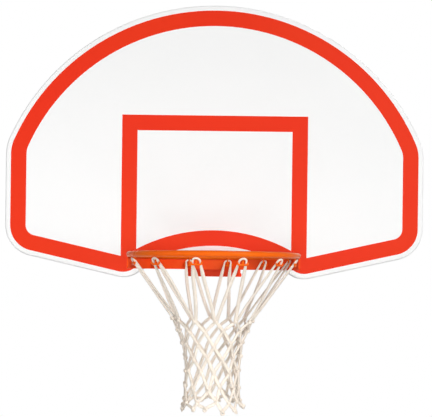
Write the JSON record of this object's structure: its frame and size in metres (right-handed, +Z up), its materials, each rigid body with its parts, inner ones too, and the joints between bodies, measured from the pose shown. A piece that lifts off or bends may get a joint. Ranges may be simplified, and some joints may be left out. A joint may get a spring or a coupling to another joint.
{
  "type": "basketball backboard",
  "caption": "Fan-shaped steel basketball backboard with striped border and target, fixed hoop on a braced bracket, hooked cord net and rear bolt-on rails.",
  "frame": {"origin": "middle of the four rear bolt holes, on the rear plane of the rails", "axes": "+X to the right seen from the front, +Y backwards towards the support, +Z up; the hoop stands out towards -Y"},
  "size_m": [1.3716, 0.6763, 1.2588],
  "materials": {
    "panel_paint": "baked white enamel, satin",
    "stripe_film": "orange-red film, satin",
    "frame_paint": "pale grey enamel, satin",
    "goal_paint": "orange powder coat, semi-gloss",
    "zinc": "zinc plated",
    "net_cord": "natural white braided cord"
  },
  "bodies": {
    "board": {"face_panel": "panel_paint", "border_stripe": "stripe_film", "target_stripe": "stripe_film", "upper_rail": "frame_paint", "lower_left_rail": "frame_paint", "lower_right_rail": "frame_paint", "goal_channel": "frame_paint", "left_rib": "frame_paint", "right_rib": "frame_paint", "left_side_rib": "frame_paint", "right_side_rib": "frame_paint", "top_rib": "frame_paint", "back_plate": "goal_paint", "goal_studs": "zinc", "goal_washers": "zinc", "goal_nuts": "zinc", "ring_bracket": "goal_paint", "left_arm": "goal_paint", "right_arm": "goal_paint", "ring_brace": "goal_paint", "goal_ring": "goal_paint", "net_hooks": "goal_paint"},
    "net_top": {"net_upper": "net_cord"},
    "net_tail": {"net_lower": "net_cord"}
  },
  "joints": [
    {"name": "net_sway", "type": "hinge", "parent": "board", "child": "net_top", "pos_m": [0, -0.4318, -0.344], "axis": [1, 0, 0], "range_deg": [-15, 15], "deforming": ["net_upper"]},
    {"name": "net_tail_swing", "type": "hinge", "parent": "net_top", "child": "net_tail", "pos_m": [0, -0.4318, -0.4968], "axis": [0, 1, 0], "range_deg": [-15, 15], "deforming": ["net_lower"]}
  ]
}
